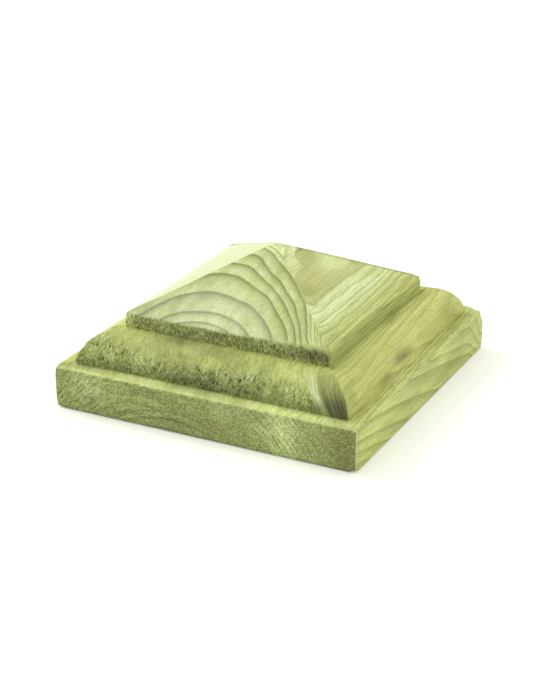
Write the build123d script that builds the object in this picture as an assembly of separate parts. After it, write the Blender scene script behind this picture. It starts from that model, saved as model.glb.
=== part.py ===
from build123d import *
import os

# Square post cap, machined from one block of softwood.
# Millimetres, +Z up. The origin is the centre of the flat underside, and the grain runs along Y,
# so the faces at -Y and +Y show end grain and the faces at -X and +X show long grain.

# Base block
side = 100.0
base_height = 13.5
arris_ease = 0.6

# Ovolo moulding above the base, one arc in section: level where it meets the step and almost
# upright where it lands on the ledge
ledge_width = 4.9
ovolo_width = 11.1
ovolo_height = 9.8

# Upright step and the low pyramid on it
step_height = 4.6
step_corner_radius = 0.9
total_height = 44.5
apex_flat = 2.0

# Knocked corner of the base at +X +Y, measured from the sharp corner along each edge
knock_along_x = 4.2
knock_along_y = 4.2
knock_down = 4.6

# Places that follow from the sizes
half_side = side / 2
ovolo_foot = half_side - ledge_width
step_half = ovolo_foot - ovolo_width
shoulder_level = base_height + ovolo_height
eaves_level = shoulder_level + step_height


def mitred(section):
    """Runs one upright section along Y and along X and keeps what both runs share, so that
    its mouldings meet in mitres at the corners."""
    along_y = extrude(section, amount=half_side, both=True)
    along_x = Rot(0, 0, 90) * along_y
    return along_y & along_x


def base_block():
    """Square slab with its arrises eased and one top corner knocked off."""
    slab = Pos(0, 0, base_height / 2) * Box(side, side, base_height)
    on_back_edge = Vector(half_side - knock_along_x, half_side, base_height)
    on_side_edge = Vector(half_side, half_side - knock_along_y, base_height)
    on_upright_edge = Vector(half_side, half_side, base_height - knock_down)
    outwards = (on_side_edge - on_back_edge).cross(on_upright_edge - on_back_edge)
    knock = Plane(origin=on_back_edge, z_dir=outwards)
    slab = split(slab, bisect_by=knock, keep=Keep.BOTTOM)
    return fillet(slab.edges(), arris_ease)


def ovolo():
    """Quarter-round belt that rises from the ledge and meets the foot of the step."""
    with BuildSketch(Plane.XZ) as section:
        with BuildLine():
            Line((0, base_height), (0, shoulder_level))
            Line((0, shoulder_level), (step_half, shoulder_level))
            TangentArc((step_half, shoulder_level), (ovolo_foot, base_height), tangent=(1, 0))
            Line((ovolo_foot, base_height), (0, base_height))
        make_face()
        mirror(about=Plane.YZ)
    return mitred(section.sketch)


def step_and_pyramid():
    """Upright step with the hipped top on it, its apex worn to a small flat."""
    with BuildSketch(Plane.XZ) as section:
        with BuildLine():
            Polyline(
                (0, shoulder_level),
                (step_half, shoulder_level),
                (step_half, eaves_level),
                (apex_flat / 2, total_height),
                (0, total_height),
                close=True,
            )
        make_face()
        mirror(about=Plane.YZ)
    outline = Pos(0, 0, shoulder_level) * RectangleRounded(
        2 * step_half, 2 * step_half, step_corner_radius
    )
    rounded_column = extrude(outline, amount=total_height - shoulder_level)
    return mitred(section.sketch) & rounded_column


post_cap = base_block() + ovolo() + step_and_pyramid()

os.makedirs("parts", exist_ok=True)
export_step(post_cap, "parts/post_cap.step")
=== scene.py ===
# %% [markdown]
# # A square wooden post cap
# The real object is one block of pressure-treated softwood. A saw cut it square, a
# moulding cutter ran round its four sides, and the top was bevelled to a blunt pyramid.
# The CAD model already has that shape. This script puts the wood on it: the torn end
# grain, the growth rings, the green of the treatment, the worn corners and the light.

# %% Load the CAD model as the frame
import bpy
import math
from mathutils import Matrix, Vector


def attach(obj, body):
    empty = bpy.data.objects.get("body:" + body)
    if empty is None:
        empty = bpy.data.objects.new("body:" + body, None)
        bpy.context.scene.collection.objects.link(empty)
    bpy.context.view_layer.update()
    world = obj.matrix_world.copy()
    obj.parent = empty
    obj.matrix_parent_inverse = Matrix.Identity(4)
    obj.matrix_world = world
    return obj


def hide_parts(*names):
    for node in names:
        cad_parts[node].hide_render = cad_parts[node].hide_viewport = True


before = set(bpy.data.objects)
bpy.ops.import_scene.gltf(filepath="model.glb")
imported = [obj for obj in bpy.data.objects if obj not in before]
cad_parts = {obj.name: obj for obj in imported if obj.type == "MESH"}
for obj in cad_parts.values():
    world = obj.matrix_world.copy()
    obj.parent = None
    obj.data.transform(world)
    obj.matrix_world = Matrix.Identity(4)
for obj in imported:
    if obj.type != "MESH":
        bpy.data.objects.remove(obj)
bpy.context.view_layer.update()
scene = bpy.context.scene
scene.view_settings.view_transform = "Standard"
mm = 0.001

# %% [markdown]
# ## The cap's sizes
# The cap is one section carried round a square: a sawn side, a ledge, a quarter-round
# moulding called an ovolo, an upright step, a slope and a blunt top. The sizes are those of
# the CAD model. Its heights and widths are also where the wood's look changes, so they are
# worked out here once and used by the shape and by the material.

# %% Sizes of the section
sizes = {
    "Side": 100.0 * mm,
    "Base Height": 13.5 * mm,
    "Ledge Width": 4.9 * mm,
    "Ovolo Width": 11.1 * mm,
    "Ovolo Height": 9.8 * mm,
    "Step Height": 4.6 * mm,
    "Total Height": 44.5 * mm,
    "Apex Flat": 2.0 * mm,
}
# heights above the underside and distances from the middle, in millimetres
ledge_up = sizes["Base Height"] / mm
step_up = ledge_up + sizes["Ovolo Height"] / mm
eaves_up = step_up + sizes["Step Height"] / mm
half = sizes["Side"] / mm / 2
ovolo_out = half - sizes["Ledge Width"] / mm
step_out = ovolo_out - sizes["Ovolo Width"] / mm
print("ledge, step and eaves at, mm:", round(ledge_up, 2), round(step_up, 2), round(eaves_up, 2))

# %% [markdown]
# ## The camera
# The photograph looks down on the cap past its nearest corner. The camera could be
# placed by eye, but matching the corners of the block in the picture gives its direction,
# its distance and its lens, so it is written here as a photographer would say it: how far
# round, how far up, how far away, and how much the camera leans.

# %% The camera
long_side = 700
focal_pixels = 1696.73
around = math.radians(27.178)
above = math.radians(23.599)
lean = math.radians(-0.396)
distance = 522.42 * mm
aim = Vector((4.104, -9.819, 13.5)) * mm


def place_camera():
    """Looks at the aim point from its direction and distance, leaning a little."""
    camera = bpy.data.objects.new("camera", bpy.data.cameras.new("camera"))
    scene.collection.objects.link(camera)
    level = math.cos(above)
    back = Vector((math.sin(around) * level, -math.cos(around) * level, math.sin(above)))
    turn = (-back).to_track_quat("-Z", "Y").to_matrix().to_4x4()
    leaning = Matrix.Rotation(lean, 4, "Z")
    camera.matrix_world = Matrix.Translation(aim + back * distance) @ turn @ leaning
    camera.data.sensor_width = 36
    camera.data.lens = focal_pixels * camera.data.sensor_width / long_side
    camera.data.clip_start = 0.01
    scene.camera = camera
    return camera


camera = place_camera()
print("lens, mm:", round(camera.data.lens, 2))

# %% [markdown]
# ## Sums written as sums
# A node tree works out numbers by wiring Math nodes together, and a long formula makes a
# long tangle. A small class lets the script write the formula as arithmetic, and adds the
# Math nodes as it goes. The same class serves Geometry Nodes and materials.

# %% Fields: numbers that a node tree works out
def plug(tree, slot, value):
    """Wires a field or a socket into an input, or writes a plain value on it."""
    if isinstance(value, Field):
        tree.links.new(value.socket, slot)
    elif isinstance(value, bpy.types.NodeSocket):
        tree.links.new(value, slot)
    else:
        slot.default_value = value


def add_node(tree, kind, inputs=(), **settings):
    """Adds a node, sets its settings, then fills its inputs by name or by number."""
    made = tree.nodes.new(kind)
    for name, value in settings.items():
        setattr(made, name, value)
    for name, value in dict(inputs).items():
        plug(tree, made.inputs[name], value)
    return made


def sums(tree, operation, *values):
    """One Math node, as a field."""
    made = add_node(tree, "ShaderNodeMath", operation=operation)
    for slot, value in zip(made.inputs, values):
        plug(tree, slot, value)
    return Field(tree, made.outputs[0])


class Field:
    """A number that a node tree works out. Arithmetic on it adds Math nodes."""

    def __init__(self, tree, socket):
        self.tree = tree
        self.socket = socket

    def __add__(self, other):
        return sums(self.tree, "ADD", self, other)

    def __radd__(self, other):
        return sums(self.tree, "ADD", other, self)

    def __sub__(self, other):
        return sums(self.tree, "SUBTRACT", self, other)

    def __rsub__(self, other):
        return sums(self.tree, "SUBTRACT", other, self)

    def __mul__(self, other):
        return sums(self.tree, "MULTIPLY", self, other)

    def __rmul__(self, other):
        return sums(self.tree, "MULTIPLY", other, self)

    def __truediv__(self, other):
        return sums(self.tree, "DIVIDE", self, other)

    def __neg__(self):
        return sums(self.tree, "MULTIPLY", self, -1.0)

    def __pow__(self, other):
        return sums(self.tree, "POWER", self, other)

    def __abs__(self):
        return sums(self.tree, "ABSOLUTE", self)

    def least(self, other):
        return sums(self.tree, "MINIMUM", self, other)

    def most(self, other):
        return sums(self.tree, "MAXIMUM", self, other)

    def sine(self):
        return sums(self.tree, "SINE", self)

    def cosine(self):
        return sums(self.tree, "COSINE", self)

    def ramp(self, start, end):
        """0 at start, 1 at end, straight between and held beyond."""
        given = {"Value": self, "From Min": start, "From Max": end}
        made = add_node(self.tree, "ShaderNodeMapRange", given)
        return Field(self.tree, made.outputs["Result"])

    def smooth(self, start, end):
        """0 at start, 1 at end, easing in and out."""
        made = add_node(self.tree, "ShaderNodeMapRange", interpolation_type="SMOOTHSTEP")
        for name, value in {"Value": self, "From Min": start, "From Max": end}.items():
            plug(self.tree, made.inputs[name], value)
        return Field(self.tree, made.outputs["Result"])

    def bump(self, middle, width):
        """1 at the middle, easing to 0 at width on either side."""
        return abs(self - middle).smooth(width, 0.0)


def split(tree, vector):
    """The three parts of a vector, as fields."""
    made = add_node(tree, "ShaderNodeSeparateXYZ", {"Vector": vector})
    return [Field(tree, out) for out in made.outputs]


def join(tree, x, y, z):
    """Three fields as one vector."""
    return add_node(tree, "ShaderNodeCombineXYZ", {"X": x, "Y": y, "Z": z}).outputs[0]


def noise(tree, x, y, z, detail=2.0, rough=0.5):
    """Smooth random numbers about 0.5, for places given in lumps' lengths."""
    made = add_node(tree, "ShaderNodeTexNoise", {"Vector": join(tree, x, y, z), "Scale": 1.0})
    made.inputs["Detail"].default_value = detail
    made.inputs["Roughness"].default_value = rough
    return Field(tree, made.outputs[0])


def cells(tree, x, y, z):
    """Random cells: the distance to the nearest cell's middle, and that cell's own number."""
    made = add_node(tree, "ShaderNodeTexVoronoi", {"Vector": join(tree, x, y, z), "Scale": 1.0})
    own = split(tree, made.outputs["Color"])[0]
    return Field(tree, made.outputs["Distance"]), own


# %% [markdown]
# ## Node groups that make meshes
# Both pieces of this cap follow rules, so Geometry Nodes make them. A group needs a socket
# for each size that it can be given. The values on the modifier are set by the socket's
# identifier, and only then is the object evaluated. The result is kept as a plain mesh and
# the modifier is taken off.

# %% Making and using a node group
def new_group(name, inputs):
    """A Geometry Nodes group with these named inputs. Returns it and its input fields."""
    group = bpy.data.node_groups.new(name, "GeometryNodeTree")
    group.interface.new_socket(name="Geometry", in_out="INPUT", socket_type="NodeSocketGeometry")
    for label, kind in inputs.items():
        group.interface.new_socket(name=label, in_out="INPUT", socket_type="NodeSocket" + kind)
    group.interface.new_socket(name="Geometry", in_out="OUTPUT", socket_type="NodeSocketGeometry")
    start = group.nodes.new("NodeGroupInput")
    given = {label: Field(group, start.outputs[label]) for label in inputs}
    given["Geometry"] = start.outputs["Geometry"]
    return group, given


def end_group(group, geometry, material):
    """Realizes what is left as instances, gives it its material and closes the group."""
    real = add_node(group, "GeometryNodeRealizeInstances", {"Geometry": geometry})
    coated = add_node(group, "GeometryNodeSetMaterial", {"Geometry": real.outputs[0]})
    plug(group, coated.inputs["Material"], material)
    finish = group.nodes.new("NodeGroupOutput")
    group.links.new(coated.outputs[0], finish.inputs[0])


def run_group(name, mesh, group, values):
    """A plain mesh object from a group: the modifier runs once and is then removed."""
    piece = bpy.data.objects.new(name, mesh)
    scene.collection.objects.link(piece)
    maker = piece.modifiers.new(group.name, "NODES")
    maker.node_group = group
    for item in group.interface.items_tree:
        if item.in_out == "INPUT" and item.name in values:
            maker[item.identifier] = values[item.name]
    ready = piece.evaluated_get(bpy.context.evaluated_depsgraph_get())
    made = bpy.data.meshes.new_from_object(ready)
    piece.modifiers.clear()
    piece.data = made
    made.name = name
    return piece


def keep(group, geometry, name, field):
    """Stores a field on the points under a name, for the material to read."""
    made = add_node(group, "GeometryNodeStoreNamedAttribute", data_type="FLOAT", domain="POINT")
    plug(group, made.inputs["Geometry"], geometry)
    plug(group, made.inputs["Name"], name)
    plug(group, made.inputs["Value"], field)
    return made.outputs[0]


# %% [markdown]
# ## The wood
# Softwood grows a pale soft layer in spring and a thin dark hard one in late summer, so a
# log is a nest of dark tubes. Cutting a block out of it shows arches where the cut is
# across or slanting, and long lines where it runs along. Two pictures wrapped on the
# faces would not meet at the arrises. Instead the material asks each point of the surface
# how far it is from the pith of the tree, and that one number gives every ring on every
# face. The pith of this tree ran along the block, some way under it and left of its middle.

# %% Colours as they are seen
def seen(red, green, blue):
    """A colour by its screen numbers from 0 to 255, as the linear one a shader wants."""
    parts = [c / 255 for c in (red, green, blue)]
    parts = [p / 12.92 if p <= 0.04045 else ((p + 0.055) / 1.055) ** 2.4 for p in parts]
    return (*parts, 1.0)


def blend(tree, factor, first, second, how="MIX"):
    """Two colours mixed, or multiplied, by a factor."""
    made = tree.nodes.new("ShaderNodeMix")
    made.data_type = "RGBA"
    made.blend_type = how
    plug(tree, made.inputs[0], factor)
    plug(tree, made.inputs[6], first)
    plug(tree, made.inputs[7], second)
    return made.outputs[2]


def curve(tree, field, points):
    """A field put through a drawn curve with straight runs between its points."""
    made = add_node(tree, "ShaderNodeFloatCurve", {"Value": field})
    line = made.mapping.curves[0]
    while len(line.points) < len(points):
        line.points.new(0.5, 0.5)
    for point, place in zip(line.points, points):
        point.location = place
        point.handle_type = "VECTOR"
    made.mapping.use_clip = False
    made.mapping.update()
    return Field(tree, made.outputs[0])


def stored(tree, name):
    """A field that the mesh carries."""
    made = add_node(tree, "ShaderNodeAttribute", attribute_name=name)
    return Field(tree, made.outputs["Fac"])


# %% [markdown]
# The rings are not round. The trunk was oval, leant a little and bowed a little along the
# block, so the distance from the pith is stretched by direction and the pith's place moves
# with y. The years were uneven too: wide near the pith, narrow outside. The lists below
# hold each year's outer edge, in millimetres of that distance. These numbers weren't
# measured on a log: a separate least-squares program fitted the pith, the oval and the
# first set of years to ring lines traced on the photograph.

# %% The tree the block was cut from
inner_years = [50.0, 54.5, 58.5, 61.0, 63.4, 65.0, 67.4, 68.8, 70.4, 71.9, 73.6, 74.8]
middle_years = [75.6, 76.9, 79.2, 81.1, 82.4, 83.35, 84.5, 85.14, 85.8, 86.15, 86.65, 87.4, 88.15]
bark_years = [89.2, 90.35, 91.95, 93.75, 94.55, 95.85, 97.2, 98.6, 100.0]
years = inner_years + middle_years + bark_years
first_year, last_year = years[0], years[-1]
span = last_year - first_year
# the pith: how far left of the block's middle and below its underside, in millimetres
pith_left, pith_below = 30.85, 65.89
# how far it drifts for each millimetre along the block, and how far it bows at the ends
lean_left, lean_down = 0.0892, 0.078
bow_right, bow_down = 1.057, 1.502
# how much wider the trunk is across than up, and how much that oval is turned
oval_share, turned_share = 0.1924, 0.1696


def pith_distance(tree, x, y, z):
    """How far a point is from the pith, in millimetres of this oval, leaning tree."""
    along = y / half
    across = x + pith_left + lean_left * y - bow_right * along * along
    up = z + pith_below - lean_down * y + bow_down * along * along
    square = across * across + up * up
    oval = oval_share * (across * across - up * up) / square
    turned = turned_share * 2.0 * across * up / square
    return square ** 0.5 * (1.0 + oval - turned)


print("rings:", len(years) - 1, "between", first_year, "and", last_year, "mm from the pith")

# %% [markdown]
# ## Places in the block
# Real wood has accidents: a ring dips, a branch was near, a wet patch took up more of the
# treatment. Each accident is an egg-shaped place in the block with a middle, three radii
# and an amount. Because the place is a volume, it meets itself across the arrises.

# %% Egg-shaped places
def patch(tree, place, middle, radii):
    """1 in the middle of an egg-shaped place, easing to 0 at its rim. In millimetres."""
    moved = add_node(tree, "ShaderNodeVectorMath", {0: place}, operation="SUBTRACT")
    moved.inputs[1].default_value = [c * mm for c in middle]
    sized = add_node(tree, "ShaderNodeVectorMath", {0: moved.outputs[0]}, operation="DIVIDE")
    sized.inputs[1].default_value = [r * mm for r in radii]
    far = add_node(tree, "ShaderNodeVectorMath", {0: sized.outputs[0]}, operation="LENGTH")
    return Field(tree, far.outputs["Value"]).smooth(1.0, 0.0)


def patches(tree, place, listed):
    """The sum of several patches, each times its amount."""
    total = None
    for middle, radii, amount in listed:
        one = patch(tree, place, middle, radii) * amount
        total = one if total is None else total + one
    return total


# where the rings swell out (above 0) or dip in: middle, radii and push, in millimetres.
# This list wasn't made by hand: a separate least-squares program picked the places and the
# pushes, so that the ring edges pass where they were traced on the photograph.
slope_swellings = [
    ((21, -9, 34.5), (7, 25, 3), -0.27),
    ((21, 15, 34.5), (16, 16, 8), -0.19),
    ((12, -3, 39), (8, 8, 4), 0.14),
    ((4.5, 3, 42.5), (8, 8, 4), -0.21),
    ((24.5, -18, 33), (8, 8, 4), -0.16),
    ((18, -17, 36.5), (12, 12, 6), -0.24),
    ((13.5, -12, 38), (8, 8, 4), -0.12),
    ((27, -29.5, 30), (8, 8, 4), 0.31),
    ((18, -29.5, 30), (8, 8, 4), -0.22),
    ((15, -22.5, 33.5), (8, 8, 4), 0.13),
    ((12, -17, 36.5), (8, 8, 4), 0.23),
    ((6, -21, 34.5), (8, 8, 4), -0.35),
    ((3, -19, 35.5), (16, 16, 8), 0.44),
    ((3, -12, 39), (8, 8, 4), 0.26),
    ((-3, -4.5, 42.5), (8, 8, 4), -0.5),
    ((-9, -24.5, 33), (16, 16, 8), 0.39),
]
# these three were written one by one
side_swellings = [
    ((45.1, 0, 13.9), (4.6, 90, 4.2), -0.9),
    ((44, 40, 17), (6, 18, 6), -0.28),
    ((50, 54, 8), (8, 18, 16), 3.2),
]
swellings = slope_swellings + side_swellings
print("places where the rings swell or dip:", len(swellings))

# %% [markdown]
# ## The rings
# Counting the years that lie inside a point is a sum of ramps, one for each year. The
# fraction of that count says how far through its year the wood there is, and a power of it
# keeps the dark late wood thin. How sharply it darkens differs from year to year, so the
# power follows a curve drawn over the distance from the pith.

# %% Rings from the distance
# pairs of pith distance and sharpness
sharpness = [(50, 0.25), (74, 0.35), (76, 0.45), (77.5, 0.6), (81, 0.5), (82, 0.38)]
sharpness += [(84.5, 0.36), (84.8, 0.45), (86.5, 0.35), (90, 0.3), (92, 0.35), (100, 0.35)]


def by_reach(tree, reach, points):
    """A slow curve over the pith distance, from pairs of distance and value."""
    drawn = [((r - first_year) / span, value) for r, value in points]
    return curve(tree, reach.ramp(first_year, last_year), drawn)


def ring_fields(tree, place, x, y, z):
    """The late wood's strength (0 to 1) and the pith distance at each point."""
    sway = noise(tree, x / 6.0, y / 60.0, z / 6.0, 2.0) - 0.5
    shiver = noise(tree, x / 1.4, y / 18.0, z / 1.4, 1.0) - 0.5
    roll = noise(tree, x / 9.0, y / 13.0, z / 9.0, 1.0) - 0.5
    right_slope = (x - abs(y)).ramp(0.0, 4.0) * z.ramp(27.0, 29.0)
    reach = pith_distance(tree, x, y, z) + 0.12 * sway + 0.1 * shiver
    reach = reach + patches(tree, place, swellings) + 0.5 * roll * right_slope
    age = reach.ramp(years[0], years[1])
    for inner, outer in zip(years[1:], years[2:]):
        age = age + reach.ramp(inner, outer)
    part = sums(tree, "FRACT", age)
    late = 0.85 * part ** (8.0 * by_reach(tree, reach, sharpness)) + 0.25 * part * part
    return late.least(1.0).most(part.ramp(0.09, 0.0)), reach


# %% [markdown]
# ## Pits
# Where the cutter met the fibres end on it pulled bundles of them out. Each pit is one
# cell of a random pattern, taller than wide, and only some cells are pits. The geometry
# and the material ask the same pattern, so the dark places are the deep ones: the end
# grain's deeper stain there, and painted shade in the hollows.

# %% The pattern of pits
def pit_field(tree, x, y, z):
    """1 in the middle of a torn pit, 0 outside, for places in millimetres."""
    bend = noise(tree, x / 1.4, y / 6.0, z / 1.4, 1.0) - 0.5
    far, own = cells(tree, x / 1.05 + 0.5 * bend, y / 4.0, z / 1.4 + 0.6 * bend)
    return far.ramp(0.46, 0.26) * own.ramp(0.45, 0.6)


def stroke_field(tree, x, y, z):
    """Short upright strokes, as of fibres combed up and down by the cutter, about 0.5."""
    return noise(tree, x / 0.6, y / 3.0, z / 1.0, 3.0, 0.65)


# %% [markdown]
# ## The finish
# The treatment is a thin green stain. It sits lightly on the planed slopes, which stay
# pale, goes deeper into the moulding, and deepest into the open pores of the end grain.
# All of it is colour on the shader's base colour, because nothing on this wood shines.
# The list of stains below also holds painted shade on the ovolo's top just under the step.

# %% Stains, and painted shade under the step, that follow no rule
# middle, radii, amount: above 0 darkens, below 0 lightens
stains_and_shade = [
    ((42, -44.5, 15.6), (6, 8, 6), 0.55),
    ((48, -50, 6), (9, 4, 13), 0.5),
    ((-8, -50, 3), (22, 4, 7), 0.3),
    ((26, -50, 7), (11, 4, 12), -0.6),
    ((-38, -50, 9), (16, 4, 11), -0.5),
    # painted shade: a dark band on the ovolo's top just under the step
    ((-8, -36, 22.6), (26, 5, 2.6), 0.45),
    ((-2, -45, 15.5), (22, 4, 5), 0.6),
    ((24, -39, 21), (9, 6, 4), -0.42),
    ((30, -47.5, 13.5), (26, 3, 1.5), -0.3),
    ((-4, -47.5, 13.5), (24, 3, 1.5), 0.25),
    ((29, -34, 26), (12, 3, 3), 0.75),
    ((24, -28, 31), (15, 12, 8), 0.15),
    ((3, -9, 40.5), (10, 9, 4), 0.08),
    ((17, -13, 36), (4, 5, 2.5), 0.15),
    ((40, -34, 19), (6, 9, 4), 0.2),
    ((34, 0, 25.5), (2.5, 60, 4.5), 0.42),
    ((40, 10, 21), (7, 44, 4.5), -0.1),
    ((47.5, 0, 13.5), (4, 60, 1.2), -0.06),
    ((50, -38, 7), (4, 22, 9), -0.3),
    ((-8, -38, 22), (36, 7, 5), 0.22),
    ((10, -50, 7), (60, 6, 20), -0.09),
    ((-21, -44.5, 15.5), (10, 4, 4), 0.3),
    ((-31, -31, 29.2), (9, 7, 4), 0.25),
    ((36.5, -44.5, 15.6), (4, 4, 3.5), 0.6),
    ((-44, -47.5, 13.5), (20, 3.5, 1.6), 0.4),
    ((44.2, -3, 16.8), (4, 11, 3.2), 0.85),
    ((43.5, -39, 17.8), (4, 4, 5), 0.4),
    ((43.5, 36, 17.8), (4, 10, 5), 0.35),
    ((44.7, -17, 15.3), (3.5, 9, 2.2), 0.6),
    ((0, -34, 25.7), (38, 2.6, 2.8), 0.32),
    ((-22, -34, 25.7), (9, 2.6, 2.8), 0.2),
    ((-32.5, -34, 25.7), (4, 3, 4), -0.4),
    ((33, -34, 25.7), (6, 3, 4), 0.4),
    ((-24, -30, 30), (16, 7, 4), 0.12),
    ((14, -44, 16.5), (13, 4, 4.5), 0.5),
    ((-2, -43.5, 17.4), (24, 4, 3), 0.35),
    # painted shade: a dark band on the ovolo's top just under the step
    ((-15, -35.5, 22.9), (13, 3, 1.7), 0.5),
    ((-3, -41, 20.4), (9, 5, 2.6), -0.3),
    ((-30, -38, 22), (7, 6, 3), -0.25),
    ((-16, -41, 20), (6, 4, 2.5), 0.22),
    ((24, 0, 32), (9, 30, 5), 0.08),
    ((50, 14, 11), (3, 9, 4), -0.3),
    ((50, 20, 4), (3, 16, 5), 0.3),
]
# on the right slope, where a branch was near: middle, radii, amount, colour
tints = [
    ((8.5, 4, 40.7), (4.5, 4.5, 3), 0.65, (176, 178, 104)),
    ((5.5, 5, 42.3), (2, 2.2, 1.4), 0.6, (126, 134, 88)),
    ((2.5, 1.2, 43.7), (2.2, 2.6, 1.2), 0.5, (196, 198, 122)),
    ((16.5, -12.5, 36.8), (6, 6, 3.4), 0.75, (174, 181, 98)),
    ((14.5, 11, 37.6), (6, 10, 4), 0.85, (218, 227, 158)),
    ((15, 13.5, 37.4), (2.4, 2.6, 2), 0.6, (204, 214, 110)),
    ((18.5, 18, 35.7), (2.6, 4, 2), 0.7, (168, 178, 82)),
]
# the sawn front, middle, radii, amount: above 0 browner, below 0 greener
mottles = [
    ((-10, -50, 7), (24, 6, 12), 0.6),
    ((8, -50, 3), (22, 6, 7), 0.45),
    ((46, -50, 6), (10, 6, 14), 1.1),
    ((-26, -50, 1), (14, 6, 6), 0.4),
    ((26, -50, 8), (11, 6, 11), -0.7),
    ((8, -50, 11), (12, 6, 5), -0.5),
    ((-40, -50, 9), (14, 6, 10), -0.6),
]
print("stains:", len(stains_and_shade), "tints:", len(tints), "mottles:", len(mottles))

# %% [markdown]
# ## Wood cut along its fibres
# Planed along the fibres, softwood shows pale early wood, darker late wood and fine
# streaks. The four slopes, the ledges and the right side were stained differently, so each
# face has a field from 0 to 1 that says how much a point belongs to it. The left slope's
# field also carries painted light from the upper left.

# %% Faces and the strength of the rings
def faces(x, y, z, top):
    """How much a point belongs to each face, from 0 to 1."""
    facing_front = (-y - abs(x)).ramp(-0.3, 0.3)
    right = (x - abs(y)).ramp(-0.3, 0.3)
    return {
        "left": (-x - abs(y) - 2.2 * z.smooth(34.0, 28.0)).smooth(-0.4, 1.2),
        "front slope": top * facing_front,
        "front": facing_front * (1.0 - top),
        "right": right,
        "right cove": right * z.bump(18.0, 4.5),
        "right ovolo": right * z.ramp(13.6, 14.2) * z.ramp(23.5, 22.9),
        "right ledge": right * z.ramp(14.0, 13.7) * z.ramp(13.3, 13.5),
        "right step": right * z.ramp(22.6, 23.4) * z.ramp(28.3, 27.7),
    }


# pairs of pith distance and how strongly the late wood shows there
strong_rings = [(50, 0.4), (74, 0.45), (75.2, 0.9), (84.5, 1.0), (84.8, 0.5), (85.8, 0.5)]
strong_rings += [(86.2, 0.55), (88, 0.55), (89, 0.7), (92, 0.75), (94, 0.6), (100, 0.5)]


def line_strength(tree, x, reach, face, round_cut, cloud, speck):
    """How strongly the late wood's lines show, face by face."""
    slope = face["front slope"]
    strength = (by_reach(tree, reach, strong_rings) + 0.5 * slope * reach.smooth(84.0, 85.0)).least(1.0)
    strength = strength * (0.45 + 0.5 * cloud + 0.6 * speck)
    strength = strength * (1.0 - 0.75 * round_cut) * (1.0 - 0.55 * face["front"])
    strength = strength * (1.0 - 0.14 * slope * x.bump(2.0, 14.0)) * (1.0 - 0.65 * face["right cove"])
    # On the left slope the lines fade: painted light from the upper left.
    return strength * (1.0 - 0.9 * face["left"]) * (1.0 - 0.3 * face["right ovolo"])


# %% Early and late wood
def pale_slope(tree, x, z, reach, face, cloud, mottle):
    """The early wood on the slopes."""
    pale = blend(tree, reach.smooth(77.0, 81.0), seen(216, 226, 172), seen(213, 222, 157))
    pale = blend(tree, reach.smooth(84.3, 85.0), pale, seen(236, 244, 180))
    pale = blend(tree, reach.smooth(85.6, 86.8), pale, seen(208, 217, 136))
    pale = blend(tree, cloud.ramp(0.5, 0.8), pale, seen(204, 216, 130))
    wash = blend(tree, x.smooth(-4.0, -16.0), (0.92, 0.92, 0.91, 1), (0.81, 0.81, 0.77, 1))
    wash = blend(tree, x.smooth(0.0, 10.0), wash, (0.8, 0.82, 0.7, 1))
    slope = face["front slope"]
    pale = blend(tree, slope, pale, wash, "MULTIPLY")
    pale = blend(tree, slope * mottle.ramp(0.5, 0.68) * 0.5, pale, seen(172, 184, 116))
    pale = blend(tree, slope * mottle.ramp(0.5, 0.34) * 0.4, pale, seen(226, 235, 186))
    # The left slope's own pale colour, then painted light from the upper left that whitens its lower
    # part.
    pale = blend(tree, face["left"], pale, seen(221, 231, 181))
    return blend(tree, face["left"] * z.smooth(32.0, 28.3) * 0.7, pale, seen(236, 240, 214))


def pale_moulding(tree, x, y, z, face, cloud):
    """The early wood below the eaves, with the front ledge's patches."""
    pale = blend(tree, cloud.smooth(0.35, 0.65), seen(213, 218, 130), seen(198, 203, 112))
    pale = blend(tree, z.ramp(13.6, 13.3), pale, (1.0, 1.0, 1.13, 1), "MULTIPLY")
    block = noise(tree, (x + 0.5 * y) / 2.6, y / 30.0, 0.5, 3.0, 0.6)
    ledge = face["front"] * z.ramp(13.9, 13.6)
    pale = blend(tree, ledge, pale, (1.04, 1.1, 1.28, 1), "MULTIPLY")
    pale = blend(tree, ledge * block.ramp(0.48, 0.66) * 0.5, pale, seen(164, 172, 92))
    return blend(tree, ledge * block.ramp(0.5, 0.34) * 0.5, pale, seen(216, 224, 144))


def dark_slope(tree, place, reach, face):
    """The late wood on the slopes, tan where the branch was near."""
    dark = blend(tree, reach.smooth(79.0, 81.5), seen(134, 143, 98), seen(128, 137, 72))
    tan = patch(tree, place, (16, 4, 37.5), (15, 34, 13)).ramp(0.05, 0.2)
    dark = blend(tree, tan * (1.0 - face["front slope"]), dark, seen(194, 195, 126))
    return blend(tree, reach.smooth(84.4, 84.8), dark, seen(146, 154, 80))


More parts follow.
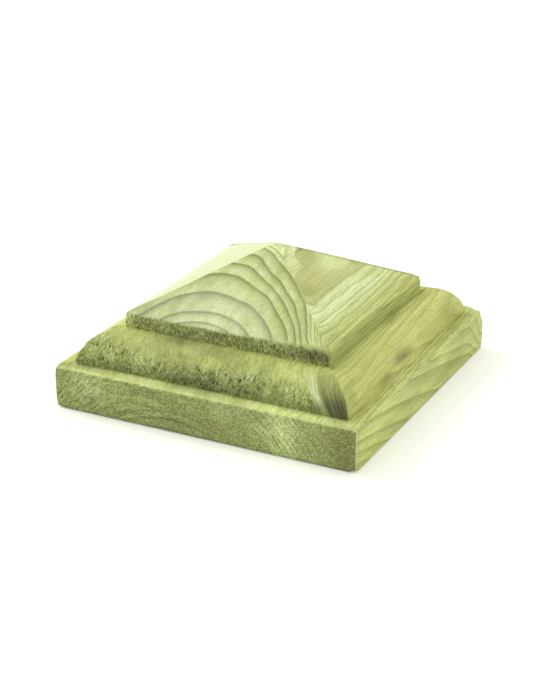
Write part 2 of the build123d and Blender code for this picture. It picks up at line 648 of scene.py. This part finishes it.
# %% Wood along the grain
def along_colour(tree, place, x, y, z, late, reach, top, round_cut):
    """Wood planed along its fibres: pale early wood, dark late wood and fine streaks."""
    slanting = z + 0.13 * y * z.ramp(13.6, 13.4)
    fibre = noise(tree, x / 0.5, y / 16.0, slanting / 0.5, 2.0, 0.6)
    cloud = noise(tree, x / 7.0, y / 26.0, z / 7.0, 2.0, 0.5)
    speck = noise(tree, x / 0.5, y / 1.2, z / 0.5, 2.0, 0.7)
    mottle = noise(tree, x / 2.6, y / 7.0, z / 2.6, 3.0, 0.65)
    face = faces(x, y, z, top)
    shown = late * line_strength(tree, x, reach, face, round_cut, cloud, speck)
    upper = pale_slope(tree, x, z, reach, face, cloud, mottle)
    pale = blend(tree, top, pale_moulding(tree, x, y, z, face, cloud), upper)
    dark = blend(tree, top, seen(144, 149, 76), dark_slope(tree, place, reach, face))
    lines = blend(tree, shown, pale, dark)
    streak = fibre.ramp(0.44, 0.66) * (0.34 + 0.24 * (1.0 - top).most(reach.smooth(85.6, 86.8)))
    # The left slope's streaks fade too: painted light from the upper left.
    streak = streak * (1.0 - 0.7 * face["left"]) * (1.0 - 0.75 * face["front slope"])
    streak = streak * (1.0 - 0.3 * face["right ovolo"])
    streak = streak * (1.0 + 0.7 * face["right ledge"] + 0.8 * face["right step"])
    lines = blend(tree, streak, lines, seen(150, 156, 80))
    for middle, radii, amount, colour in tints:
        placed = patch(tree, place, middle, radii).ramp(0.0, 0.5) * (1.0 - face["front slope"])
        lines = blend(tree, placed * amount * (0.6 + 0.6 * mottle), lines, seen(*colour))
    # Painted shade: a thin dark line in the inner corner where the ovolo's top meets the step on the
    # right.
    crease_shade = face["right"] * (z + 0.5 * (fibre - 0.5)).bump(23.35, 0.22)
    lines = blend(tree, crease_shade * 0.3, lines, seen(112, 118, 60))
    far_hip = top * abs(x - y).ramp(1.6, 0.4) * x.ramp(4.0, 7.0) * (0.5 + cloud)
    return blend(tree, far_hip * 0.6, lines, seen(138, 138, 98)), shown, fibre


# %% [markdown]
# ## Wood cut across its fibres
# End grain drinks the treatment, so it is darker. The moulding cutter left it mottled, and
# the saw left arcs and slanting scratches on the base. Near the right the rings cross it
# as fine lines.

# %% Wood across the grain
def across_colour(tree, wood, place, x, y, z, reach, crosswise, sawn, round_cut):
    """The same wood cut across: darker, with mottles, specks and fine lines along the rings."""
    blotch = noise(tree, x / 5.0, y / 8.0, z / 4.0, 3.0, 0.6)
    upright = noise(tree, x / 0.5, y / 1.5, z / 1.3, 3.0, 0.7)
    slanted = noise(tree, (x + 0.4 * z) / 0.8, y / 1.5, (z - 0.4 * x) / 0.6, 4.0, 0.8)
    fleck = upright + sawn * (0.5 + 1.5 * (slanted - 0.5) - upright)
    ribbon = noise(tree, (x + 0.5 * z) / 1.3, y / 8.0, z / 3.2, 3.0, 0.6)
    hair = noise(tree, reach / 0.3, y / 30.0, z / 16.0, 2.0, 0.7)
    scratch = noise(tree, (x + 1.2 * z) / 9.0, y / 5.0, (x - z) / 0.9, 2.0, 0.6)
    darker = blend(tree, crosswise, (1, 1, 1, 1), (0.54, 0.58, 0.46, 1))
    tinted = blend(tree, 1.0, wood, darker, "MULTIPLY")
    tinted = blend(tree, round_cut * ribbon.ramp(0.46, 0.62) * 0.6, tinted, seen(112, 120, 58))
    tinted = blend(tree, round_cut * ribbon.ramp(0.46, 0.32) * 0.6, tinted, seen(204, 214, 126))
    tinted = blend(tree, round_cut * blotch.ramp(0.5, 0.64) * 0.6, tinted, seen(146, 152, 70))
    tinted = blend(tree, round_cut * blotch.ramp(0.5, 0.38) * 0.5, tinted, seen(192, 206, 136))
    column = noise(tree, x / 2.6, y / 20.0, z / 14.0, 2.0, 0.6)
    tinted = blend(tree, round_cut * column.ramp(0.5, 0.62) * 0.5, tinted, seen(146, 154, 74))
    tinted = blend(tree, round_cut * column.ramp(0.5, 0.38) * 0.45, tinted, seen(204, 214, 132))
    shade = patches(tree, place, mottles) + 1.6 * (blotch - 0.5)
    tinted = blend(tree, sawn * shade.ramp(0.0, 0.8) * 0.85, tinted, seen(140, 141, 76))
    tinted = blend(tree, sawn * shade.ramp(0.0, -0.8) * 0.85, tinted, seen(164, 178, 114))
    from_saw = ((x + 22.0) ** 2.0 + (1.4 * z + 12.0) ** 2.0) ** 0.5
    arcs = noise(tree, from_saw / 0.9, x / 14.0, y / 9.0, 2.0, 0.6)
    sweep = sawn * x.bump(-20.0, 26.0)
    tinted = blend(tree, sweep * arcs.ramp(0.5, 0.62) * 0.6, tinted, seen(108, 110, 52))
    tinted = blend(tree, sweep * arcs.ramp(0.48, 0.36) * 0.45, tinted, seen(186, 196, 120))
    near = (x - 18.0).ramp(0.0, 10.0)
    ringed = round_cut * (0.35 + 0.65 * near)
    band = noise(tree, reach / 0.55, y / 30.0, z / 9.0, 2.0, 0.6)
    arched = sawn * x.bump(27.0, 16.0) * (0.5 + 0.5 * blotch.ramp(0.4, 0.55))
    arched = arched.most(sawn * x.bump(-12.0, 26.0) * z.smooth(10.0, 4.0) * 0.8)
    tinted = blend(tree, arched * band.ramp(0.5, 0.62) * 0.85, tinted, seen(100, 108, 56))
    tinted = blend(tree, arched * band.ramp(0.5, 0.38) * 0.7, tinted, seen(188, 202, 138))
    tinted = blend(tree, ringed * hair.ramp(0.5, 0.68) * 0.5, tinted, seen(92, 98, 46))
    tinted = blend(tree, ringed * hair.ramp(0.5, 0.32) * 0.45, tinted, seen(204, 214, 146))
    scratched = sawn * scratch.ramp(0.5, 0.58) * x.smooth(-20.0, -38.0)
    tinted = blend(tree, scratched * 0.8, tinted, seen(100, 108, 50))
    smoother = 0.6 * round_cut * z.smooth(17.0, 20.0) * z.smooth(23.6, 23.2)
    rough = crosswise * (1.0 - smoother) * (0.5 + 0.05 * sawn)
    tinted = blend(tree, rough * fleck.ramp(0.49, 0.64), tinted, seen(84, 90, 40))
    tinted = blend(tree, rough * fleck.ramp(0.46, 0.32) * 0.85, tinted, seen(200, 212, 144))
    return tinted, fleck, blotch, hair


# %% [markdown]
# ## Torn end grain and the near corner
# Torn places are dark in the pits, partly from the end grain's deeper stain and partly as
# painted shade in the hollows, and pale on the tufts between them. At the near corner
# the cutter left the moulding clean, and there one pale and one dark band of rings show.

# %% Torn wood
def torn_colour(tree, cut, x, y, z, reach, tear, round_cut, hair):
    """Torn end grain: dark pits, partly painted shade, and pale tufts, then the near corner's two
    bands.
    """
    stroke = stroke_field(tree, x, y, z)
    tuft = noise(tree, x / 0.6 + 31.0, y / 3.0, z / 0.95, 2.0, 0.6)
    foot = z.smooth(17.5, 14.5) * z.ramp(13.3, 13.6)
    stepped = z.ramp(23.0, 23.6)
    torn = blend(tree, tear * (foot * 0.55 + stepped * 0.42), cut, seen(84, 90, 42))
    combed = tear * stroke.ramp(0.48, 0.6) * (0.5 + 0.2 * foot + 0.35 * stepped)
    torn = blend(tree, combed, torn, seen(74, 82, 34))
    # Pits darkened: partly the end grain's deeper stain, partly painted shade in the hollows that the
    # geometry pushes in.
    pit_stain_and_shade = tear * pit_field(tree, x, y, z) * (0.9 - 0.5 * foot - 0.5 * stepped)
    torn = blend(tree, pit_stain_and_shade, torn, seen(50, 56, 22))
    torn = blend(tree, tear * tuft.ramp(0.54, 0.62) * (0.9 - 0.6 * foot), torn, seen(204, 214, 148))
    near = x.ramp(20.0, 28.0) * round_cut * z.ramp(23.4, 22.9)
    torn = blend(tree, near * reach.smooth(83.7, 84.2) * 0.75, torn, seen(148, 151, 82))
    dark_band = near * reach.smooth(84.1, 84.9) * z.smooth(23.0, 17.0)
    dark_band = dark_band * (0.5 + 0.5 * hair.ramp(0.38, 0.56))
    torn = blend(tree, dark_band * 0.95, torn, seen(62, 64, 34))
    pale_band = near * reach.smooth(81.9, 82.4) * reach.smooth(84.1, 83.6)
    pale_band = pale_band * (0.4 + 0.6 * hair.ramp(0.56, 0.42)) * (1.0 - 0.85 * foot)
    return blend(tree, pale_band, torn, seen(238, 246, 198)), stroke


# %% [markdown]
# ## The material put together
# The layers go on in the order in which they happened to the wood: it grew, it was cut
# along and across, it tore, it was stained, and its edges wore pale. With the stains go
# painted shade under the step and a painted contact shadow at the foot of the sawn sides,
# and with the worn edges go painted highlights. One bump follows the same fields as the colour.

# %% The treated pine material
def treated_pine():
    """Rings, fibres, end grain and the treatment's green, all from the place in the block."""
    made = bpy.data.materials.new("treated pine")
    made.use_nodes = True
    tree = made.node_tree
    tree.nodes.clear()
    place = tree.nodes.new("ShaderNodeTexCoord").outputs["Object"]
    x, y, z = [part / mm for part in split(tree, place)]
    late, reach = ring_fields(tree, place, x, y, z)
    end_grain = stored(tree, "end_grain")
    tear = stored(tree, "tear")

    ragged = noise(tree, x / 0.45, y / 2.0, z / 1.6, 2.0, 0.6) - 0.5
    eaves = 27.4 + 1.1 * x.ramp(0.0, 26.0) - 1.2 * x.ramp(-30.5, -33.0)
    top = (z - eaves + 1.6 * ragged).smooth(-0.25, 0.25)
    frayed = noise(tree, x / 1.3, y / 2.0, z / 0.9, 3.0, 0.65) - 0.5
    lip = (z - 13.0 + 2.4 * frayed).smooth(-0.2, 0.3) * z.ramp(13.6, 13.5)
    crosswise = end_grain.ramp(0.1, 1.0) * (1.0 - top) * (1.0 - 0.8 * lip)
    round_cut = crosswise * z.ramp(13.4, 14.0)
    sawn = crosswise * end_grain.ramp(0.85, 1.0) * z.ramp(14.0, 13.4)

    wood, lines, fibre = along_colour(tree, place, x, y, z, late, reach, top, round_cut)
    across = across_colour(tree, wood, place, x, y, z, reach, crosswise, sawn, round_cut)
    cut, fleck, blotch, hair = across
    torn, stroke = torn_colour(tree, cut, x, y, z, reach, tear, round_cut, hair)
    # Painted contact shadow: the lowest 1.5 mm of the sawn sides is darkened where they meet the floor.
    torn = blend(tree, sawn * z.smooth(1.5, 0.3) * 0.8, torn, (0.66, 0.66, 0.7, 1), "MULTIPLY")
    # Real stains and painted shade under the step darken the colour; stains below 0 lighten it.
    stain_and_shade = patches(tree, place, stains_and_shade) * (0.3 + 1.4 * blotch)
    shaded = blend(tree, 1.0, torn, (0.45, 0.44, 0.4, 1), "MULTIPLY")
    stained_and_shaded = blend(tree, stain_and_shade.ramp(0.0, 1.0), torn, shaded)
    brighter = blend(tree, 1.0, stained_and_shaded, (1.7, 1.7, 1.8, 1), "MULTIPLY")
    lighter = blend(tree, stain_and_shade.ramp(0.0, -1.0), stained_and_shaded, brighter)
    # Pale edges, partly real wear and partly painted highlight: the base's upright corners and specks
    # along the ledge's outer arris.
    corner_wear_and_highlight = (abs(x) + abs(y)).ramp(98.4, 99.6) * end_grain.ramp(0.9, 0.5)
    dots = noise(tree, x / 0.7, y / 0.9, z / 0.7, 2.0, 0.6)
    rim_wear_and_highlight = z.bump(13.35, 0.75) * abs(x).ramp(48.6, 49.4) * dots.ramp(0.48, 0.62)
    wear_and_highlight = rim_wear_and_highlight.most(0.7 * corner_wear_and_highlight) * (1.0 - crosswise) * 0.6
    final = blend(tree, wear_and_highlight, lighter, seen(230, 235, 170))
    grain = noise(tree, x / 0.33, y / 0.9, z / 0.33, 2.0, 0.7)
    grained = blend(tree, grain.ramp(0.36, 0.64), (0.87, 0.87, 0.87, 1), (1.13, 1.13, 1.13, 1))
    final = blend(tree, 1.0, final, grained, "MULTIPLY")

    height = 0.02 * lines + (0.06 - 0.06 * top * end_grain.ramp(0.05, 0.3)) * fibre
    height = height + crosswise * (0.25 * fleck - 0.3 * tear * stroke)
    raised = add_node(tree, "ShaderNodeBump", {"Height": height, "Distance": 0.5 * mm})
    plug(tree, raised.inputs["Strength"], 0.7)
    skin = tree.nodes.new("ShaderNodeBsdfPrincipled")
    plug(tree, skin.inputs["Base Color"], final)
    plug(tree, skin.inputs["Roughness"], 0.62 + 0.2 * fibre)
    plug(tree, skin.inputs["Normal"], raised.outputs[0])
    finish = tree.nodes.new("ShaderNodeOutputMaterial")
    tree.links.new(skin.outputs[0], finish.inputs["Surface"])
    return made


wood = treated_pine()
print("treated pine: nodes", len(wood.node_tree.nodes), "years", len(years) - 1)

# %% [markdown]
# ## The cap's skin
# The section goes round the square and is mitred at the corners. It could be modelled by
# hand, but the rule is simple, so Geometry Nodes bend a flat grid into it. Each column of
# the grid is a place round the square and each row is a place up the section. The rows and
# columns crowd together at the arrises, so that these can be worn round.

# %% Rows and columns of the grid
front_columns = 400
back_columns = 230
along_columns = 100
columns = front_columns + back_columns + 2 * along_columns
rows = {"underside": 3, "side": 22, "ledge": 7, "ovolo": 46, "step": 13, "slope": 24, "top": 2}
print("columns", columns, "rows", sum(rows.values()))


# %% The section carried round a square
def crowded(part, squeeze):
    """Spacing that crowds towards both ends of a run from 0 to 1."""
    return part - squeeze / (2 * math.pi) * (part * (2 * math.pi)).sine()


def swept_square(group, given):
    """The grid bent into the cap. Returns the geometry, with its seam and poles closed."""
    grid = add_node(group, "GeometryNodeMeshGrid", {"Size X": 1.0, "Size Y": 1.0})
    grid.inputs["Vertices X"].default_value = columns + 1
    grid.inputs["Vertices Y"].default_value = sum(rows.values()) + 1
    place = add_node(group, "GeometryNodeInputPosition").outputs[0]
    u, v = split(group, place)[:2]
    column = (u + 0.5) * float(columns)
    row = (v + 0.5) * float(sum(rows.values()))

    def side_part(start, length, squeeze):
        return 2.0 * crowded(column.ramp(start, start + length), squeeze)

    corner = [0, front_columns, front_columns + along_columns, columns - along_columns]
    right = side_part(corner[0], front_columns, 0.25) - side_part(corner[2], back_columns, 0.4) - 1.0
    back = side_part(corner[1], along_columns, 0.62) - side_part(corner[3], along_columns, 0.62) - 1.0

    part = {}
    start = 0.0
    for name, count in rows.items():
        even = row.ramp(start, start + count)
        part[name] = even if name in ("underside", "top") else crowded(even, 0.45)
        start += count

    half = given["Side"] * 0.5
    step_half = half - given["Ledge Width"] - given["Ovolo Width"]
    eaves = given["Base Height"] + given["Ovolo Height"] + given["Step Height"]
    wide, tall = given["Ovolo Width"], given["Ovolo Height"]
    radius = (wide * wide + tall * tall) / (2.0 * tall)
    foot = sums(group, "ARCTAN2", radius - tall, wide)
    angle = foot + (math.pi / 2 - foot) * part["ovolo"]
    out = half * part["underside"] - given["Ledge Width"] * part["ledge"]
    out = out - radius * (foot.cosine() - angle.cosine())
    flat_half = given["Apex Flat"] * 0.5
    out = out - (step_half - flat_half) * part["slope"] - flat_half * part["top"]
    up = given["Base Height"] * part["side"] + radius * (angle.sine() - foot.sine())
    up = up + given["Step Height"] * part["step"] + (given["Total Height"] - eaves) * part["slope"]

    rounding = 0.15 * mm + 0.1 * mm * part["ovolo"] * (1.0 - part["slope"])
    rounding = rounding.least(out * 0.6)
    inner = out - rounding
    px, py = out * right, out * back
    cx = px.least(inner).most(-inner)
    cy = py.least(inner).most(-inner)
    dx, dy = px - cx, py - cy
    length = ((dx * dx + dy * dy) ** 0.5).most(1e-9)
    bent = join(group, cx + rounding * dx / length, cy + rounding * dy / length, up)

    set_place = add_node(group, "GeometryNodeSetPosition", {"Geometry": grid.outputs["Mesh"]})
    plug(group, set_place.inputs["Position"], bent)
    closed = add_node(group, "GeometryNodeMergeByDistance", {"Geometry": set_place.outputs[0]})
    plug(group, closed.inputs["Distance"], 0.004 * mm)
    return closed.outputs[0]


# %% [markdown]
# ## Torn end grain
# A cutter that meets the fibres end on rips some out. On this cap the foot of the ovolo
# and the little step are ripped most, on the two sides that cross the grain, and the sawn
# sides below are only rough. Bump alone would leave the outline smooth, so the pits are
# real: cells of random size push the surface in, and how torn each point is, with how much
# it faces across the grain, is kept for the material.

# %% Where the faces are torn
def torn_places(group, x, y, z, out, seed):
    """How torn each point is, from 0 to 1, with the faces that this depends on."""
    crossing = (abs(y) - abs(x) + 1.0 * x.ramp(-33.0, -36.0)).ramp(-0.2, 0.2)
    ovolo = z.ramp(13.55, 13.9) * out.ramp(45.4, 45.0) * z.ramp(23.4, 23.1)
    step = z.ramp(23.3, 23.6) * z.ramp(28.0, 27.6)
    sawn = out.ramp(49.0, 49.6) * z.ramp(0.0, 0.6) * z.ramp(13.5, 13.0)

    tide = 18.6 + 2.6 * x.smooth(-16.0, -42.0) + 0.7 * x.bump(0.0, 24.0) + 1.3 * x.bump(18.0, 18.0)
    tide = tide + 4.5 * (noise(group, x / 4.0 + seed, y / 50.0, z / 6.0, 2.0) - 0.5)
    ripped = ovolo * (tide - z).ramp(-1.2, 1.2) * (1.0 - 0.9 * x.smooth(33.0, 37.0))
    patchy = noise(group, x / 6.0, y / 30.0 + seed, z / 6.0, 2.0).smooth(0.35, 0.65)
    ripped = ripped * (0.75 + 0.25 * patchy)
    tear = crossing * ripped.most(step * 0.7).most(sawn * 0.1 * patchy)
    return crossing, ovolo, sawn, tear


def surface_push(group, given, x, y, z, seed):
    """How far each point moves along its normal, in metres, and how torn it is."""
    out = abs(x).most(abs(y))
    crossing, ovolo, sawn, tear = torn_places(group, x, y, z, out, seed)
    pit = pit_field(group, x, y, z)
    stroke = stroke_field(group, x, y, z) - 0.5
    grit = noise(group, x / 0.8, y / 2.0 + seed, z / 1.3, 2.0, 0.6) - 0.5
    hollow = (tear * (pit - 1.6 * stroke - 0.6 * grit)).most(-0.5)

    wave = noise(group, x / 13.0, y / 13.0 + seed, z / 9.0, 1.0)
    arris = z.bump(eaves_up, 0.9) * out.bump(step_out, 1.2)
    chips = noise(group, x / 0.9 + seed, y / 1.6, z / 3.0, 2.0).ramp(0.35, 0.75)
    outer = z.bump(ledge_up, 0.8) * out.bump(half, 0.8)
    dents = noise(group, x / 4.0, y / 6.0 + seed, 0.5, 2.0).ramp(0.45, 0.8)
    push = given["Torn Depth"] / mm * (0.4 * tear * (1.0 - sawn) - hollow) - 0.04 * wave
    push = push - arris * crossing * (0.7 * chips - 0.15) - outer * (0.05 + 0.4 * dents)
    right_mitres = 0.42 * x.smooth(28.0, 40.0) * abs(y).smooth(28.0, 40.0)
    push = push + ovolo * (0.45 * x.smooth(-28.0, -40.0) + right_mitres)
    return push * z.ramp(0.0, 0.3) * mm, tear


# %% [markdown]
# ## Worn corners
# A corner that has been knocked is rounder than its arrises. Each one here is a ball of
# influence round the corner, and the points inside it move in towards the block. The far
# corner on the right has lost the most, as the photograph shows.

# %% Wear at the corners
def corner_wear(group, given, x, y, z, shift):
    """Adds to a shift of the points, in metres, what is worn off the corners."""
    def near(where, middle, radius):
        """1 at a corner, easing to 0 at the radius, in millimetres."""
        far = add_node(group, "ShaderNodeVectorMath", {0: where, 1: middle}, operation="DISTANCE")
        return Field(group, far.outputs["Value"]).smooth(radius, 0.0)

    here = join(group, x, y, z)
    knocked = near(here, (half, half, ledge_up), 5.5) * given["Corner Wear"]
    kicked = near(here, (half, half, 0), 4.0) * 0.25 * mm
    footed = near(here, (half, -half, 0), 2.6) * 0.6 * mm
    low_left = near(here, (-half, -half, 0), 3.5) * 0.3
    low_left = (low_left + near(here, (-half, -half, ledge_up), 3.0) * 0.35) * mm
    eaves = near(join(group, x, abs(y), z), (step_out, step_out, eaves_up), 2.8)
    eaves = eaves * (0.35 + 0.5 * y.ramp(1.0, -1.0)) * mm
    to_x, to_y, to_z = shift
    to_x = to_x - knocked - 0.8 * kicked - footed * 0.6 - eaves * 0.5 + low_left * 0.8
    to_y = to_y - knocked * 0.8 - 0.6 * kicked + footed * 0.6
    to_y = to_y - eaves * 0.5 * sums(group, "SIGN", y) + low_left * 0.5
    to_z = to_z - knocked * 0.7 + footed - eaves * 0.9 + low_left * z.ramp(10.0, 3.0)
    to_z = to_z - 0.4 * low_left * z.ramp(10.0, 13.0)
    return join(group, to_x, to_y, to_z)


# %% Relief of the cut faces
def relief(group, given, geometry):
    """Stores end grain and tear on the points, moves the surface by them and softens it."""
    place = add_node(group, "GeometryNodeInputPosition").outputs[0]
    facing = add_node(group, "GeometryNodeInputNormal").outputs[0]
    x, y, z = [part / mm for part in split(group, place)]
    normal = split(group, facing)
    push, tear = surface_push(group, given, x, y, z, given["Seed"] * 17.3)
    geometry = keep(group, geometry, "end_grain", abs(normal[1]))
    geometry = keep(group, geometry, "tear", tear)
    move = corner_wear(group, given, x, y, z, [part * push for part in normal])
    moved = add_node(group, "GeometryNodeSetPosition", {"Geometry": geometry, "Offset": move})
    after = add_node(group, "GeometryNodeInputPosition").outputs[0]
    eased = add_node(group, "GeometryNodeBlurAttribute", data_type="FLOAT_VECTOR")
    plug(group, eased.inputs["Iterations"], 1)
    values = [s for s in eased.inputs if s.name == "Value" and s.type == "VECTOR"]
    plug(group, values[0], after)
    plug(group, eased.inputs["Weight"], 0.35)
    result = [s for s in eased.outputs if s.type == "VECTOR"][0]
    soft = add_node(group, "GeometryNodeSetPosition", {"Geometry": moved.outputs[0]})
    plug(group, soft.inputs["Position"], result)
    smooth = add_node(group, "GeometryNodeSetShadeSmooth", {"Geometry": soft.outputs[0]})
    plug(group, smooth.inputs["Shade Smooth"], True)
    return smooth.outputs[0]


# %% Make the cap
body_inputs = {label: "Float" for label in sizes}
body_inputs.update({"Seed": "Int", "Torn Depth": "Float", "Corner Wear": "Float"})
body_inputs["Material"] = "Material"
body_group, body_given = new_group("cap body", body_inputs)
body_shape = relief(body_group, body_given, swept_square(body_group, body_given))
end_group(body_group, body_shape, body_given["Material"])
body_values = dict(sizes)
body_values.update({"Seed": 3, "Torn Depth": 0.7 * mm, "Corner Wear": 0.85 * mm, "Material": wood})
cap = run_group("cap", bpy.data.meshes.new("start"), body_group, body_values)
triangles = sum(len(p.vertices) - 2 for p in cap.data.polygons)
print("cap: points", len(cap.data.vertices), "triangles", triangles)

# %% [markdown]
# ## Loose fibres
# Ripped end grain is hairy. Short slivers still hang on at one end and catch the light.
# They repeat by the thousand, so Geometry Nodes scatter them where the surface is torn,
# each one a tapered splinter of a few faces, turned and sized at random.

# %% Scatter the loose fibres
def fibre_group():
    """Splinters on the torn places of the mesh it is given."""
    inputs = {"Density": "Float", "Length": "Float", "Width": "Float", "Seed": "Int"}
    inputs["Material"] = "Material"
    group, given = new_group("loose fibres", inputs)
    named = add_node(group, "GeometryNodeInputNamedAttribute", {"Name": "tear"}, data_type="FLOAT")
    tear = Field(group, named.outputs[0])
    spread = add_node(group, "GeometryNodeDistributePointsOnFaces", {"Mesh": given["Geometry"]})
    plug(group, spread.inputs["Density"], given["Density"] * tear.ramp(0.3, 0.9))
    plug(group, spread.inputs["Seed"], given["Seed"])
    splinter = add_node(group, "GeometryNodeMeshCone", {"Vertices": 4, "Side Segments": 1})
    plug(group, splinter.inputs["Radius Top"], 0.05)
    plug(group, splinter.inputs["Radius Bottom"], 0.5)
    plug(group, splinter.inputs["Depth"], 1.0)

    def chance(low, high, seed):
        made = add_node(group, "FunctionNodeRandomValue", data_type="FLOAT")
        sockets = {s.name: s for s in made.inputs if s.enabled}
        plug(group, sockets["Min"], low)
        plug(group, sockets["Max"], high)
        plug(group, sockets["Seed"], seed)
        return Field(group, [s for s in made.outputs if s.enabled][0])

    side = sums(group, "SIGN", split(group, spread.outputs["Normal"])[1])
    aim_at = join(group, chance(-0.45, 0.45, 1), side * 0.75, chance(-1.0, 1.0, 2))
    turned = add_node(group, "FunctionNodeAlignRotationToVector", {"Vector": aim_at}, axis="Z")
    long = given["Length"] * chance(0.4, 1.0, 3)
    thick = given["Width"] * chance(0.5, 1.0, 4)
    scale = join(group, thick, thick * 0.6, long)
    placed = add_node(group, "GeometryNodeInstanceOnPoints", {"Points": spread.outputs["Points"]})
    plug(group, placed.inputs["Instance"], splinter.outputs["Mesh"])
    plug(group, placed.inputs["Rotation"], turned.outputs[0])
    plug(group, placed.inputs["Scale"], scale)
    real = add_node(group, "GeometryNodeRealizeInstances", {"Geometry": placed.outputs[0]})
    real = real.outputs[0]
    for name, value in {"tear": 0.0, "end_grain": 0.12}.items():
        real = keep(group, real, name, value)
    end_group(group, real, given["Material"])
    return group


loose = fibre_group()
fibre_values = {"Density": 0.9e6, "Length": 1.2 * mm, "Width": 0.36 * mm, "Seed": 5, "Material": wood}
fibres = run_group("loose_fibres", cap.data, loose, fibre_values)
print("loose fibres: triangles", sum(len(p.vertices) - 2 for p in fibres.data.polygons))

# %% [markdown]
# ## Floor and light
# The photograph is a plain product picture: white ground, soft light all round, and a
# little more of it from the upper left. A pale floor and a pale sky give that. The
# background is made white only for the camera, so the cap isn't lit more by it.

# %% Floor, sky and lamp
def floor_material():
    """A matt white floor that shows the cap's soft shadow."""
    made = bpy.data.materials.new("white floor")
    made.use_nodes = True
    tree = made.node_tree
    skin = tree.nodes["Principled BSDF"]
    skin.inputs["Base Color"].default_value = (0.92, 0.92, 0.86, 1)
    skin.inputs["Roughness"].default_value = 0.9
    skin.inputs["Specular IOR Level"].default_value = 0.1
    skin.inputs["Emission Color"].default_value = (1.0, 1.0, 0.92, 1)
    camera_ray = Field(tree, tree.nodes.new("ShaderNodeLightPath").outputs["Is Camera Ray"])
    plug(tree, skin.inputs["Emission Strength"], 0.2 * camera_ray)
    return made


def make_floor(half_size):
    """A square floor at the cap's underside."""
    mesh = bpy.data.meshes.new("floor")
    corners = [(-1, -1), (1, -1), (1, 1), (-1, 1)]
    mesh.from_pydata([(a * half_size, b * half_size, 0.0) for a, b in corners], [], [(0, 1, 2, 3)])
    mesh.materials.append(floor_material())
    made = bpy.data.objects.new("floor", mesh)
    scene.collection.objects.link(made)
    return made


def make_sky(strength):
    """The same pale light from everywhere, seen by the camera as plain white."""
    world = bpy.data.worlds.new("pale sky")
    world.use_nodes = True
    tree = world.node_tree
    tree.nodes.clear()
    path = tree.nodes.new("ShaderNodeLightPath")
    camera_ray = Field(tree, path.outputs["Is Camera Ray"])
    sky = add_node(tree, "ShaderNodeBackground", {"Color": (1, 1, 1, 1)})
    plug(tree, sky.inputs["Strength"], strength + (1.0 - strength) * camera_ray)
    finish = tree.nodes.new("ShaderNodeOutputWorld")
    tree.links.new(sky.outputs[0], finish.inputs[0])
    scene.world = world


def make_lamp(name, place, size, power):
    """A square soft lamp that looks at the cap."""
    lamp = bpy.data.lights.new(name, "AREA")
    lamp.size = size
    lamp.energy = power
    made = bpy.data.objects.new(name, lamp)
    made.location = place
    made.rotation_mode = "QUATERNION"
    made.rotation_quaternion = (aim - Vector(place)).to_track_quat("-Z", "Y")
    scene.collection.objects.link(made)
    return made


floor = make_floor(3.0)
make_sky(0.93)
make_lamp("upper left", (-0.85, 0.1, 0.85), 0.5, 4.4)

# %% [markdown]
# ## The pieces on the CAD model's body
# Both pieces are the one solid of the CAD model, so both ride on its body. The cap stands
# in for the plain solid.

# %% Ride and replace
for piece in (cap, fibres):
    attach(piece, "root")
    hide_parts("post_cap")
